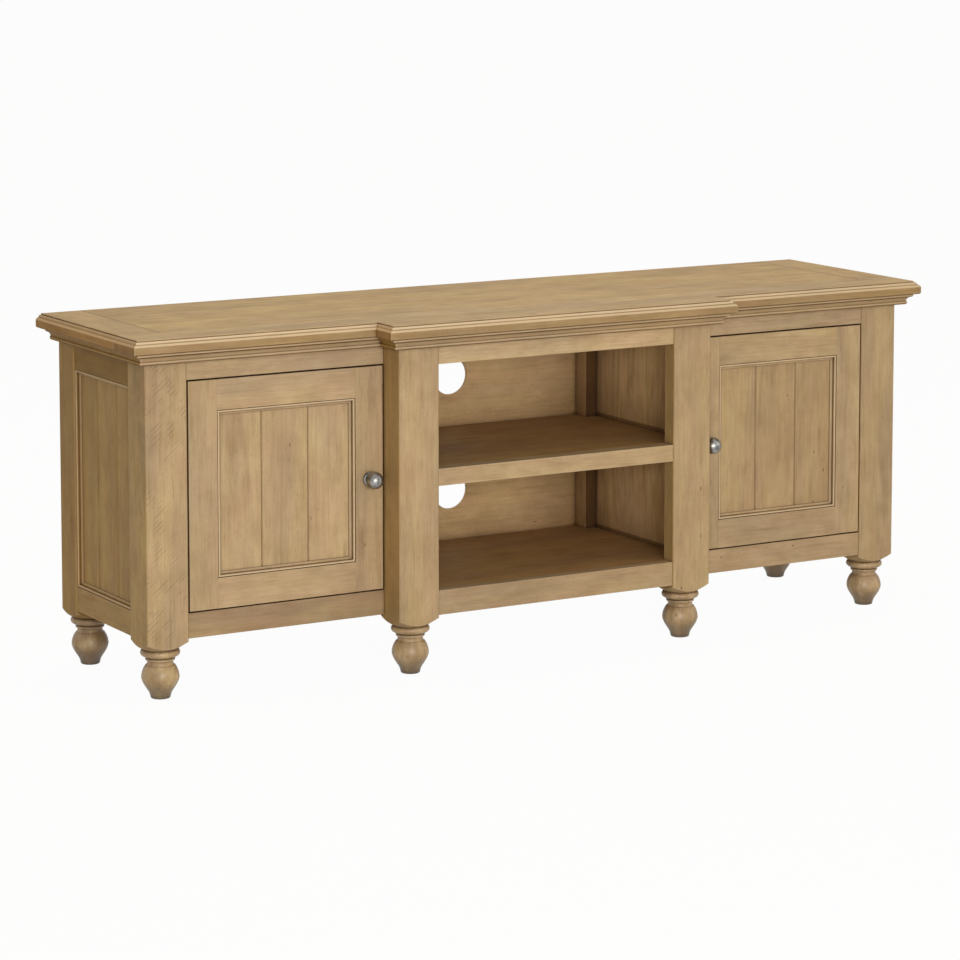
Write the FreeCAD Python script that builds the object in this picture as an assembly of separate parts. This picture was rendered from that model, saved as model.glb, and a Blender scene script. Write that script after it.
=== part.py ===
import FreeCAD, Part
import math
import os

# Breakfront media cabinet: two panelled doors either side of an open centre bay.
# Millimetres. X runs along the front, Y from the front to the back, Z is up.
# The origin is on the floor, under the middle of the top.

os.makedirs("parts", exist_ok=True)
Vector = FreeCAD.Vector
UP = Vector(0, 0, 1)
RIGHT = Vector(1, 0, 0)
BACKWARD = Vector(0, 1, 0)

# Plan of the carcass
centre_bay_width = 480.0
centre_post_width = 78.0
door_bay_width = 372.0
corner_post_width = 76.0
front_post_depth = 70.0
rear_post_depth = 64.0
rear_centre_post_width = 48.0
carcass_depth = 355.0
breakfront_step = 53.0

# Heights, from the floor up
foot_height = 84.5
post_drop = 17.5
bottom_rail_height = 43.0
opening_height = 393.0
top_rail_height = 32.0
side_top_rail_height = 45.0
rear_top_rail_height = 45.0
cornice_height = 20.0
top_thickness = 24.0

# Top boards and their moulded edge
top_flat_overhang = 24.0
nosing_reach = 34.0
rear_overhang = 18.0
front_border_depth = 72.0
end_board_width = 74.0
field_board_count = 3
nosing_width = 6.0
nosing_quirk = 2.6
nosing_bead_width = 4.6
nosing_bead_depth = 6.4
nosing_step = 1.0
nosing_roll_depth = 11.0
nosing_ease = 2.0

# Planted moulding under the top
cornice_bead_width = 5.6
cornice_bead_ease = 1.6
cornice_cove_reach = 8.0
cornice_cove_depth = 8.0
cornice_cove_sag = 1.5
cornice_fillet = 1.4
cornice_lower_bead = 4.4

# Posts and their turned lower ends
post_edge_chamfer = 2.0
shoulder_radius = 30.0
shoulder_slope = 0.62
post_lip_depth = 30.0
partition_inset = 54.0

# Rails and joinery
rail_setback = 2.5
rail_thickness = 19.0
side_rail_setback = 2.0
side_rail_thickness = 22.0
rear_rail_thickness = 19.0
tenon_length = 18.0
tenon_thickness = 8.0
tenon_set_in = 3.0
tenon_shoulder = 7.0
joint_slack = 0.15

# Boards
partition_thickness = 20.0
bottom_thickness = 20.0
shelf_thickness = 20.0
shelf_height = 212.0
shelf_lip_height = 30.0
back_thickness = 8.0
back_inset = 27.0
back_tongue = 7.7
cupboard_shelf_thickness = 18.0
cupboard_shelf_height = 195.0
cupboard_shelf_gap = 2.0
cleat_width = 20.0
cleat_height = 20.0
cable_hole_radius = 35.0
cable_hole_heights = (92.0, 305.0)

# Tongue-and-groove panels, shared by the doors and the cabinet sides
board_thickness = 8.0
panel_recess = 9.0
panel_bead_drop = 2.4
panel_bead_width = 4.8
panel_crown_width = 2.0
panel_crown_drop = 0.5
panel_quirk_depth = 5.4
panel_moulding_width = 9.6
panel_moulding_edge = 1.0
panel_groove_depth = 8.0
board_chamfer = 2.0
tongue_thickness = 2.7
tongue_length = 4.5
tongue_end_gap = 0.5
side_board_joints = (138.0, 218.0)

# Doors
door_gap = 2.5
door_recess = 1.2
door_thickness = 20.0
stile_width = 53.0
door_rail_height = 52.0
door_centre_board_width = 88.0
door_tenon_length = 25.0

# Door furniture
knob_radius = 14.8
knob_projection = 35.0
knob_base_radius = 12.0
knob_base_thickness = 4.2
knob_stem_radius = 6.0
knob_stem_start = 7.5
knob_stem_end = 12.5
knob_rim_distance = 20.0
knob_rim_width = 5.0
knob_dome_radius = 10.8
knob_dome_distance = 31.2
knob_tip_radius = 1.5
cup_radius = 17.5
cup_depth = 11.5
cup_wall = 1.6
cup_pocket_width = 14.0
cup_pocket_height = 18.0
cup_edge_distance = 22.5
cup_flange_thickness = 1.2
cup_flange_width = 22.0
cup_flange_length = 52.0
hinge_end_distance = 90.0
plate_thickness = 8.0
plate_length = 38.0
plate_width = 18.0
plate_setback = 2.0
arm_width = 12.0
arm_thickness = 5.0
arm_end_margin = 6.0
arm_crank = 4.0
arm_past_cup = 8.8
hinge_clearance = 0.3
stop_width = 40.0
stop_depth = 15.0
stop_overlap = 10.0
stop_height = 32.0

# Turned feet; heights are above the floor
turning_flats = 32
arc_flats = 4
short_arc_flats = 3
foot_base_radius = 15.5
foot_pad_radius = 18.8
foot_pad_height = 11.0
foot_belly_radius = 28.6
foot_belly_height = 24.0
foot_bulb_radius = 32.1
foot_bulb_height = 37.0
foot_shoulder_radius = 31.0
foot_shoulder_height = 44.5
foot_bulb_end_radius = 24.8
foot_bulb_end_height = 56.5
foot_neck_radius = 22.0
foot_neck_height = 61.5
foot_bead_radius = 25.2
foot_bead_height = 67.0
foot_bead_half_width = 2.6
foot_quirk_depth = 1.8
foot_ring_radius = 33.5
foot_ring_start = 70.6
foot_ring_height = 77.6
foot_collar_radius = 30.0

# Lines across the width, right half
post_in = centre_bay_width / 2
post_out = post_in + centre_post_width
corner_in = post_out + door_bay_width
corner_out = corner_in + corner_post_width
partition_in = post_in + partition_inset
partition_out = partition_in + partition_thickness
rear_centre_in = post_out - rear_centre_post_width
side_rail_out = corner_out - side_rail_setback
side_rail_in = side_rail_out - side_rail_thickness
side_board_out = side_rail_out - panel_recess
side_board_in = side_board_out - board_thickness

# Lines from front to back
overall_depth = nosing_reach + breakfront_step + carcass_depth + rear_overhang
side_front = nosing_reach + breakfront_step - overall_depth / 2
centre_front = side_front - breakfront_step
carcass_back = side_front + carcass_depth
top_back = carcass_back + rear_overhang
side_post_back = side_front + front_post_depth
centre_post_back = centre_front + front_post_depth
centre_lip_back = centre_front + post_lip_depth
rear_post_front = carcass_back - rear_post_depth
back_front = carcass_back - back_inset
back_rear = back_front + back_thickness
side_rail_back = side_front + rail_setback + rail_thickness
centre_rail_back = centre_front + rail_setback + rail_thickness
border_back = side_front - top_flat_overhang + front_border_depth

# Heights that follow from the others
rail_underside_z = foot_height + post_drop
opening_bottom_z = rail_underside_z + bottom_rail_height
opening_top_z = opening_bottom_z + opening_height
frieze_top_z = opening_top_z + top_rail_height
carcass_top_z = frieze_top_z + cornice_height
top_face_z = carcass_top_z + top_thickness
side_opening_top_z = frieze_top_z - side_top_rail_height
rear_top_rail_underside_z = carcass_top_z - rear_top_rail_height
bottom_underside_z = opening_bottom_z - bottom_thickness
shelf_top_z = opening_bottom_z + shelf_height
cupboard_shelf_underside_z = opening_bottom_z + cupboard_shelf_height

# Door lines, right-hand door
door_in = post_out + door_gap
door_out = corner_in - door_gap
door_front = side_front + door_recess
door_back = door_front + door_thickness
door_low = opening_bottom_z + door_gap
door_high = opening_top_z - door_gap
panel_left = door_in + stile_width
panel_right = door_out - stile_width
panel_low = door_low + door_rail_height
panel_high = door_high - door_rail_height
door_board_front = door_front + panel_recess
door_board_back = door_board_front + board_thickness
door_middle_z = (door_low + door_high) / 2
knob_x = door_in + stile_width / 2
hinge_heights = (door_low + hinge_end_distance, door_high - hinge_end_distance)


def block(x0, x1, y0, y1, z0, z1):
    """Box between two opposite corners."""
    return Part.makeBox(x1 - x0, y1 - y0, z1 - z0, Vector(x0, y0, z0))


def prism(points, z0, z1):
    """Plan outline raised from z0 to z1."""
    corners = [Vector(x, y, z0) for x, y in points]
    face = Part.Face(Part.makePolygon(corners + corners[:1]))
    return face.extrude(UP * (z1 - z0))


def mirrored(shape):
    """The same piece on the left side."""
    return shape.mirror(Vector(0, 0, 0), RIGHT)


def write(node, *solids):
    """One STEP file for one named piece, or for a set of like pieces."""
    shape = solids[0] if len(solids) == 1 else Part.makeCompound(list(solids))
    shape.exportStep("parts/" + node + ".step")


def write_pair(node, solid):
    """Left and right versions, each in its own file."""
    write(node + "_left", mirrored(solid))
    write(node + "_right", solid)


def section(start, steps, place):
    """Face from a run of lines (end,) and arcs (through, end), closed at the start."""
    edges = []
    here = start
    for step in steps + [(start,)]:
        end = step[-1]
        if len(step) == 1:
            edges.append(Part.LineSegment(place(*here), place(*end)).toShape())
        else:
            edges.append(Part.Arc(place(*here), place(*step[0]), place(*end)).toShape())
        here = end
    return Part.Face(Part.Wire(edges))


def arc_points(start, through, end, count):
    """Points after start on the circle through three points, in equal steps."""
    (ax, ay), (bx, by), (cx, cy) = start, through, end
    twice = 2 * (ax * (by - cy) + bx * (cy - ay) + cx * (ay - by))
    a, b, c = ax * ax + ay * ay, bx * bx + by * by, cx * cx + cy * cy
    mx = (a * (by - cy) + b * (cy - ay) + c * (ay - by)) / twice
    my = (a * (cx - bx) + b * (ax - cx) + c * (bx - ax)) / twice
    first = math.atan2(ay - my, ax - mx)
    turn = math.remainder(math.atan2(cy - my, cx - mx) - first, 2 * math.pi)
    radius = math.hypot(ax - mx, ay - my)
    angles = [first + turn * (i + 1) / count for i in range(count)]
    return [(mx + radius * math.cos(t), my + radius * math.sin(t)) for t in angles]


def turned(outline, place):
    """Lathe work from a half outline of (radius, height), its round cut into equal flats."""
    angles = [2 * math.pi * (i + 0.5) / turning_flats for i in range(turning_flats)]
    rings = [[place(r * math.cos(a), r * math.sin(a), z) for a in angles] for r, z in outline]
    faces = [Part.Face(Part.makePolygon(ring + ring[:1])) for ring in (rings[0], rings[-1])]
    for low, high in zip(rings, rings[1:]):
        for i in range(turning_flats):
            flat = [low[i - 1], low[i], high[i], high[i - 1], low[i - 1]]
            faces.append(Part.Face(Part.makePolygon(flat)))
    solid = Part.Solid(Part.makeShell(faces))
    if solid.Volume < 0:
        solid.reverse()
    return solid


def mitred_strip(corner_a, corner_b, across, down, profile, reach, turns):
    """Moulding between two corners: turn 1 is an outside mitre, -1 an inside one, 0 square."""
    along = (corner_b - corner_a).normalize()
    length = (corner_b - corner_a).Length
    start = corner_a - along * reach
    face = section(profile[0], profile[1], lambda p, d: start + across * p + down * d)
    run = face.extrude(along * (length + 2 * reach))
    far = across * reach
    plan = [corner_a, corner_b, corner_b + far + along * (turns[1] * reach),
            corner_a + far - along * (turns[0] * reach)]
    depth = max(point[-1][1] for point in profile[1])
    return run.common(Part.Face(Part.makePolygon(plan + plan[:1])).extrude(down * depth))


def panel_moulding(corner, width_way, width, height):
    """Four mitred strips inside a panel opening; corner is its lower corner on the frame face."""
    back = UP.cross(width_way)
    corners = [corner, corner + width_way * width]
    corners += [corners[1] + UP * height, corner + UP * height]
    inward = (UP, width_way * -1, UP * -1, width_way)
    strips = []
    for i in range(4):
        strips.append(mitred_strip(corners[i], corners[(i + 1) % 4], inward[i], back,
                                   panel_bead_profile(), panel_moulding_width, (-1, -1)))
    return strips


def panel_bead_profile():
    """Bead and sloped quirk from the frame edge down to the panel."""
    bead, drop, crown = panel_bead_width, panel_bead_drop, panel_crown_drop
    rise, fall = (bead - panel_crown_width) / 2, (bead + panel_crown_width) / 2
    width = panel_moulding_width
    steps = [((rise, crown),), ((fall, crown),), ((bead, drop),), ((bead, panel_quirk_depth),),
             ((width, panel_recess - panel_moulding_edge),), ((width, panel_recess),),
             ((0, panel_recess),)]
    return (0, drop), steps


def nosing_profile():
    """Edge of the top: quirk, small bead, roll, flat fascia and an eased underside."""
    flat = top_flat_overhang
    root = flat - nosing_width
    step = flat + nosing_bead_width
    out = nosing_reach
    ease = nosing_ease
    steps = [((flat, 0),), ((flat, nosing_quirk),), ((step - ease / 2, nosing_quirk),),
             ((step, nosing_bead_depth),), ((step + nosing_step, nosing_bead_depth),),
             ((out - ease / 2, nosing_roll_depth - ease), (out, nosing_roll_depth)),
             ((out, top_thickness - ease),), ((out - ease, top_thickness),), ((root, top_thickness),)]
    return (root, 0), steps


def cornice_profile():
    """Planted moulding under the top: bead, cove and lower bead."""
    bead, ease, sag = cornice_bead_width, cornice_bead_ease, cornice_cove_sag
    out = top_flat_overhang
    neck = out - ease
    cove = neck - cornice_cove_reach
    low = bead + cornice_cove_depth
    lip = low + cornice_fillet
    steps = [((neck, 0),), ((out, ease),), ((out, bead - ease),), ((neck, bead),),
             (((neck + cove) / 2 - sag, (bead + low) / 2 - sag), (cove, low)), ((cove + ease, lip),),
             ((cove + ease, low + cornice_lower_bead),), ((cove, cornice_height - ease / 2),),
             ((cove, cornice_height),), ((0, cornice_height),)]
    return (0, 0), steps


def front_path(rear):
    """Corners of the carcass from the left rear, round the breakfront, to the right rear."""
    half = [(corner_out, rear), (corner_out, side_front), (post_out, side_front),
            (post_out, centre_front)]
    return [(-x, y) for x, y in half] + half[::-1]


def edge_strips(profile, reach, z, rear):
    """Moulding strips along the whole front path, mitred at every corner."""
    path = front_path(rear)
    bends = (0, 1, -1, 1, 1, -1, 1, 0)
    strips = []
    for i in range(len(path) - 1):
        a = Vector(path[i][0], path[i][1], z)
        b = Vector(path[i + 1][0], path[i + 1][1], z)
        outward = (b - a).normalize().cross(UP)
        strips.append(mitred_strip(a, b, outward, UP * -1, profile, reach,
                                   (bends[i], bends[i + 1])))
    return strips


def foot(x, y):
    """Turned foot: pad, bulb, neck, bead and ring under the post."""
    bead, ring = foot_bead_radius, foot_ring_radius
    outline = [(foot_base_radius, 0), (foot_pad_radius, foot_pad_height)]
    outline += arc_points(outline[-1], (foot_belly_radius, foot_belly_height),
                          (foot_bulb_radius, foot_bulb_height), arc_flats)
    outline += arc_points(outline[-1], (foot_shoulder_radius, foot_shoulder_height),
                          (foot_bulb_end_radius, foot_bulb_end_height), short_arc_flats)
    outline += [(foot_neck_radius, foot_neck_height),
                (bead - foot_quirk_depth, foot_bead_height - foot_bead_half_width),
                (bead, foot_bead_height),
                (bead - foot_quirk_depth, foot_bead_height + foot_bead_half_width)]
    outline += arc_points((bead, foot_ring_start), (ring, foot_ring_height),
                          (foot_collar_radius, foot_height), arc_flats)
    return turned(outline, lambda u, v, z: Vector(x + u, y + v, z))


def turned_post(x0, x1, y0, y1):
    """Square post with eased edges and a lathe-turned shoulder above its foot."""
    square = block(x0, x1, y0, y1, foot_height, carcass_top_z)
    upright = [e for e in square.Edges if abs(e.tangentAt(e.FirstParameter).z) > 0.9]
    square = square.makeChamfer(post_edge_chamfer, upright)
    x, y = (x0 + x1) / 2, (y0 + y1) / 2
    wide = x1 - x0 + y1 - y0
    rise = shoulder_slope * (wide - shoulder_radius)
    outline = [(shoulder_radius, foot_height), (wide, foot_height + rise), (wide, carcass_top_z)]
    return square.common(turned(outline, lambda u, v, z: Vector(x + u, y + v, z)))


def tenon(face_x, way, rail_front, z0, z1, slack=0.0):
    """Tenon on a bay rail, or its mortise when slack is given."""
    x0, x1 = sorted((face_x, face_x + way * (tenon_length + slack)))
    y = rail_front + tenon_set_in
    return block(x0, x1, y - slack, y + tenon_thickness + slack,
                 z0 + tenon_shoulder - slack, z1 - tenon_shoulder + slack)


rail_spans = ((rail_underside_z, opening_bottom_z), (opening_top_z, carcass_top_z))


def bay_rail(x0, x1, front, z0, z1):
    """Rail between two posts with a tenon at each end."""
    y = front + rail_setback
    rail = block(x0, x1, y, y + rail_thickness, z0, z1)
    return rail.fuse([tenon(x0, -1, y, z0, z1), tenon(x1, 1, y, z0, z1)])


def bay_mortises(face_x, way, front):
    """Mortises for the rails that meet one face of a post."""
    return [tenon(face_x, way, front + rail_setback, z0, z1, joint_slack) for z0, z1 in rail_spans]


def side_groove(y0, y1, z0, z1):
    """Groove in posts and rails that holds the side boards."""
    return block(side_board_in - joint_slack, side_board_out + joint_slack, y0, y1, z0, z1)


def back_groove(x0, x1):
    """Groove in a rear post that holds the edge of a back panel."""
    return block(x0, x1, back_front - joint_slack, back_rear + joint_slack,
                 rail_underside_z, carcass_top_z)


def front_corner_post():
    post = turned_post(corner_in, corner_out, side_front, side_post_back)
    cuts = bay_mortises(corner_in, 1, side_front)
    cuts.append(side_groove(side_post_back - panel_groove_depth, side_post_back,
                            rail_underside_z, carcass_top_z))
    return post.cut(cuts)


def front_centre_post():
    """Breakfront post, rebated behind its inner face for the boards of the open bay."""
    post = turned_post(post_in, post_out, centre_front, centre_post_back)
    cuts = bay_mortises(post_out, -1, side_front) + bay_mortises(post_in, 1, centre_front)
    cuts.append(block(post_in, partition_in, centre_lip_back, centre_post_back,
                      bottom_underside_z, carcass_top_z))
    return post.cut(cuts)


def rear_corner_post():
    post = turned_post(corner_in, corner_out, rear_post_front, carcass_back)
    cuts = [side_groove(rear_post_front, rear_post_front + panel_groove_depth,
                        rail_underside_z, carcass_top_z),
            back_groove(corner_in, corner_in + panel_groove_depth)]
    return post.cut(cuts)


def rear_centre_post():
    post = block(rear_centre_in, post_out, rear_post_front, carcass_back,
                 rail_underside_z, carcass_top_z)
    return post.cut([back_groove(rear_centre_in, rear_centre_in + panel_groove_depth),
                     back_groove(post_out - panel_groove_depth, post_out)])


def side_rail(z0, z1, groove_z0, groove_z1):
    """Rail of a cabinet side, with stub tongues in the post grooves."""
    rail = block(side_rail_in, side_rail_out, side_post_back, rear_post_front, z0, z1)
    stub = block(side_board_in, side_board_out, side_post_back - back_tongue,
                 rear_post_front + back_tongue, z0, z1)
    return rail.fuse(stub).cut(side_groove(side_post_back - panel_groove_depth,
                                           rear_post_front + panel_groove_depth,
                                           groove_z0, groove_z1))


def board_outline(s0, s1, joint_before, joint_after):
    """Width and depth outline of one board; joints have a groove before and a tongue after."""
    middle = board_thickness / 2
    half = tongue_thickness / 2
    wide = half + joint_slack
    deep = tongue_length + tongue_end_gap
    points = []
    if joint_before:
        points += [(s0 + board_chamfer, 0), (s0, board_chamfer), (s0, middle - wide),
                   (s0 + deep, middle - wide), (s0 + deep, middle + wide), (s0, middle + wide)]
    else:
        points += [(s0, 0)]
    points += [(s0, board_thickness), (s1, board_thickness)]
    if joint_after:
        points += [(s1, middle + half), (s1 + tongue_length, middle + half),
                   (s1 + tongue_length, middle - half), (s1, middle - half),
                   (s1, board_chamfer), (s1 - board_chamfer, 0)]
    else:
        points += [(s1, 0)]
    return points


def boards(joints, z0, z1, place):
    """Row of tongue-and-groove boards between the first and the last of the joint lines."""
    solids = []
    last = len(joints) - 2
    for i in range(last + 1):
        outline = board_outline(joints[i], joints[i + 1], i > 0, i < last)
        solids.append(prism([place(s, w) for s, w in outline], z0, z1))
    return solids


def side_boards():
    lines = [side_post_back - back_tongue]
    lines += [side_front + joint for joint in side_board_joints]
    lines += [rear_post_front + back_tongue]
    return boards(lines, opening_bottom_z - back_tongue, side_opening_top_z + back_tongue,
                  lambda s, w: (side_board_out - w, s))


def side_moulding():
    corner = Vector(side_rail_out, side_post_back, opening_bottom_z)
    return panel_moulding(corner, BACKWARD, rear_post_front - side_post_back,
                          side_opening_top_z - opening_bottom_z)


def bay_floor(z0, z1, front):
    """Board of the open bay, let round the front posts and the rear posts."""
    half = [(post_in, front), (post_in, centre_lip_back), (partition_in, centre_lip_back),
            (partition_in, rear_post_front), (rear_centre_in, rear_post_front),
            (rear_centre_in, back_front)]
    if front >= centre_lip_back:
        half = half[2:]
    return prism(half + [(-x, y) for x, y in half[::-1]], z0, z1)


def cupboard_floor():
    """Bottom board of a cupboard, let round its posts."""
    outline = [(post_out, side_rail_back), (corner_in, side_rail_back), (corner_in, side_post_back),
               (side_rail_in, side_post_back), (side_rail_in, rear_post_front),
               (corner_in, rear_post_front), (corner_in, back_front), (post_out, back_front),
               (post_out, rear_post_front), (partition_out, rear_post_front),
               (partition_out, centre_post_back), (post_out, centre_post_back)]
    return prism(outline, bottom_underside_z, opening_bottom_z)


def cupboard_shelf():
    """Loose shelf that lies on two cleats, notched round the rear posts."""
    gap = cupboard_shelf_gap
    outline = [(partition_out + gap, side_post_back + gap), (side_board_in - gap, side_post_back + gap),
               (side_board_in - gap, rear_post_front - gap), (corner_in - gap, rear_post_front - gap),
               (corner_in - gap, back_front - gap), (post_out + gap, back_front - gap),
               (post_out + gap, rear_post_front - gap), (partition_out + gap, rear_post_front - gap)]
    return prism(outline, cupboard_shelf_underside_z,
                 cupboard_shelf_underside_z + cupboard_shelf_thickness)


def cupboard_cleats():
    """Battens under the shelf, on the partition and on the cabinet side."""
    low = cupboard_shelf_underside_z - cleat_height
    return [block(x, x + cleat_width, side_post_back, rear_post_front, low, cupboard_shelf_underside_z)
            for x in (partition_out, side_board_in - cleat_width)]


def back_panel(x0, x1):
    return block(x0 - back_tongue, x1 + back_tongue, back_front, back_rear,
                 rail_underside_z, carcass_top_z)


def centre_back_panel():
    """Back of the open bay with a round cable hole behind each level."""
    panel = back_panel(-rear_centre_in, rear_centre_in)
    holes = [Part.makeCylinder(cable_hole_radius, back_thickness,
                               Vector(0, back_front, opening_bottom_z + height), BACKWARD)
             for height in cable_hole_heights]
    return panel.cut(holes)


def rear_rails():
    rails = []
    for x0, x1 in ((-corner_in, -post_out), (-rear_centre_in, rear_centre_in), (post_out, corner_in)):
        for z0, z1 in ((rail_underside_z, opening_bottom_z), (rear_top_rail_underside_z, carcass_top_z)):
            rails.append(block(x0, x1, back_rear, back_rear + rear_rail_thickness, z0, z1))
    return rails


def door_stops():
    """Blocks behind the top rails that the doors close against, beside the centre posts."""
    x = post_out + stile_width / 2
    stop = block(x - stop_width / 2, x + stop_width / 2, side_rail_back, side_rail_back + stop_depth,
                 opening_top_z - stop_overlap, opening_top_z - stop_overlap + stop_height)
    return [mirrored(stop), stop]


def top_boards():
    """Front border with the breakfront, two end boards and the field boards between them."""
    root = top_flat_overhang - nosing_width
    strips = edge_strips(nosing_profile(), nosing_reach, top_face_z, top_back)
    joint_x = corner_out + top_flat_overhang - end_board_width
    far = corner_out + nosing_reach
    behind = block(-far, far, border_back, top_back, carcass_top_z, top_face_z)
    half = [(corner_out + root, border_back), (corner_out + root, side_front - root),
            (post_out + root, side_front - root), (post_out + root, centre_front - root)]
    border = prism(half + [(-x, y) for x, y in half[::-1]], carcass_top_z, top_face_z)
    border = border.fuse([strip.cut(behind) for strip in strips]).removeSplitter()
    end = block(joint_x, corner_out + root, border_back, top_back, carcass_top_z, top_face_z)
    end = end.fuse(strips[-1].common(behind)).removeSplitter()
    board_depth = (top_back - border_back) / field_board_count
    field = []
    for i in range(field_board_count):
        y = border_back + i * board_depth
        field.append(block(-joint_x, joint_x, y, y + board_depth, carcass_top_z, top_face_z))
    return border, end, field


def door_stile(x0, x1, groove_x0, groove_x1, mortise_x0, mortise_x1):
    """Upright of a door frame with the panel groove and the two rail mortises."""
    stile = block(x0, x1, door_front, door_back, door_low, door_high)
    y0 = door_board_front - joint_slack
    y1 = door_board_back + joint_slack
    cuts = [block(groove_x0, groove_x1, y0, y1, panel_low - panel_groove_depth,
                  panel_high + panel_groove_depth)]
    for z0, z1 in ((door_low, panel_low), (panel_high, door_high)):
        cuts.append(block(mortise_x0, mortise_x1, y0, y1, z0 + tenon_shoulder - joint_slack,
                          z1 - tenon_shoulder + joint_slack))
    return stile.cut(cuts)


def hinge_stile():
    """Stile at the cabinet side, bored from behind for the hinge cups."""
    stile = door_stile(panel_right, door_out, panel_right, panel_right + panel_groove_depth,
                       panel_right, panel_right + door_tenon_length + joint_slack)
    bores = [Part.makeCylinder(cup_radius + joint_slack, cup_depth + joint_slack,
                               Vector(door_out - cup_edge_distance, door_back, z), BACKWARD * -1)
             for z in hinge_heights]
    return stile.cut(bores)


def lock_stile():
    """Stile beside the open bay, which carries the knob."""
    return door_stile(door_in, panel_left, panel_left - panel_groove_depth, panel_left,
                      panel_left - door_tenon_length - joint_slack, panel_left)


def door_rails():
    """Bottom and top rails of a door, tenoned and grooved for the boards."""
    rails = []
    for z0, z1, groove_z0, groove_z1 in (
            (door_low, panel_low, panel_low - panel_groove_depth, panel_low),
            (panel_high, door_high, panel_high, panel_high + panel_groove_depth)):
        rail = block(panel_left, panel_right, door_front, door_back, z0, z1)
        tenons = block(panel_left - door_tenon_length, panel_right + door_tenon_length,
                       door_board_front, door_board_back, z0 + tenon_shoulder, z1 - tenon_shoulder)
        groove = block(panel_left - door_tenon_length, panel_right + door_tenon_length,
                       door_board_front - joint_slack, door_board_back + joint_slack,
                       groove_z0, groove_z1)
        rails.append(rail.fuse(tenons).cut(groove))
    return rails


def door_boards():
    middle = (panel_left + panel_right) / 2
    half = door_centre_board_width / 2
    lines = [panel_left - back_tongue, middle - half, middle + half, panel_right + back_tongue]
    return boards(lines, panel_low - back_tongue, panel_high + back_tongue,
                  lambda s, w: (s, door_board_front + w))


def door_moulding():
    return panel_moulding(Vector(panel_left, door_front, panel_low), RIGHT,
                          panel_right - panel_left, panel_high - panel_low)


def knob():
    """Turned metal knob: round base, waisted stem and domed head."""
    rim_end = knob_rim_distance + knob_rim_width
    outline = [(knob_base_radius, 0), (knob_base_radius, knob_base_thickness),
               (knob_stem_radius, knob_stem_start), (knob_stem_radius, knob_stem_end),
               (knob_radius, knob_rim_distance), (knob_radius, rim_end)]
    outline += arc_points(outline[-1], (knob_dome_radius, knob_dome_distance),
                          (knob_tip_radius, knob_projection), arc_flats)
    return turned(outline, lambda u, v, d: Vector(knob_x + u, door_front - d, door_middle_z + v))


def hinge_cup(z):
    """Hinge cup pressed into the stile, with its flange on the back of the door."""
    x = door_out - cup_edge_distance
    flange = block(x - cup_flange_width / 2, x + cup_flange_width / 2, door_back,
                   door_back + cup_flange_thickness, z - cup_flange_length / 2,
                   z + cup_flange_length / 2)
    shell = Part.makeCylinder(cup_radius, cup_depth, Vector(x, door_back, z), BACKWARD * -1)
    pocket = block(x - cup_pocket_width / 2, x + cup_pocket_width / 2,
                   door_back - cup_depth + cup_wall, door_back + cup_flange_thickness,
                   z - cup_pocket_height / 2, z + cup_pocket_height / 2)
    return shell.fuse(flange).cut(pocket)


def hinge_plate(z):
    """Mounting plate screwed to the post beside the door."""
    rear = side_post_back - plate_setback
    return block(corner_in - plate_thickness, corner_in, rear - plate_length, rear,
                 z - plate_width / 2, z + plate_width / 2)


def hinge_arm(z):
    """Cranked arm that reaches from its plate to just over the cup."""
    near = door_back + cup_flange_thickness + hinge_clearance
    far = near + arm_thickness
    seat = corner_in - plate_thickness
    inner = seat - arm_thickness
    tip = door_out - cup_edge_distance - arm_past_cup
    rear = side_post_back - plate_setback - arm_end_margin
    front = rear + arm_end_margin - plate_length + arm_crank
    outline = [(seat, rear), (seat, front), (seat - arm_crank, near), (tip, near), (tip, far),
               (inner - arm_crank, far), (inner, far + arm_crank), (inner, rear)]
    return prism(outline, z - arm_width / 2, z + arm_width / 2)


def write_posts_and_feet():
    write_pair("front_corner_post", front_corner_post())
    write_pair("front_centre_post", front_centre_post())
    write_pair("rear_corner_post", rear_corner_post())
    write_pair("rear_centre_post", rear_centre_post())
    places = {"front_feet": ((corner_in + corner_out) / 2, (side_front + side_post_back) / 2),
              "centre_feet": ((post_in + post_out) / 2, (centre_front + centre_post_back) / 2),
              "rear_feet": ((corner_in + corner_out) / 2, (rear_post_front + carcass_back) / 2)}
    for name, (x, y) in places.items():
        write(name, foot(-x, y), foot(x, y))


def write_rails():
    for name, (z0, z1) in zip(("bottom_rail", "top_rail"), rail_spans):
        write_pair(name, bay_rail(post_out, corner_in, side_front, z0, z1))
        write(name + "_centre", bay_rail(-post_in, post_in, centre_front, z0, z1))
    bottom = side_rail(rail_underside_z, opening_bottom_z, opening_bottom_z - panel_groove_depth,
                       opening_bottom_z)
    top = side_rail(side_opening_top_z, carcass_top_z, side_opening_top_z,
                    side_opening_top_z + panel_groove_depth)
    write_pair("side_bottom_rail", bottom)
    write_pair("side_top_rail", top)
    write("rear_rails", *rear_rails())


def write_sides_and_back():
    panel = Part.makeCompound(side_boards())
    moulding = Part.makeCompound(side_moulding())
    write_pair("side_boards", panel)
    write_pair("side_moulding", moulding)
    write_pair("partition", block(partition_in, partition_out, centre_post_back, rear_post_front,
                                  rail_underside_z, carcass_top_z))
    side_back = back_panel(post_out, corner_in)
    write("back_panel_centre", centre_back_panel())
    write("back_panels_side", mirrored(side_back), side_back)


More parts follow.
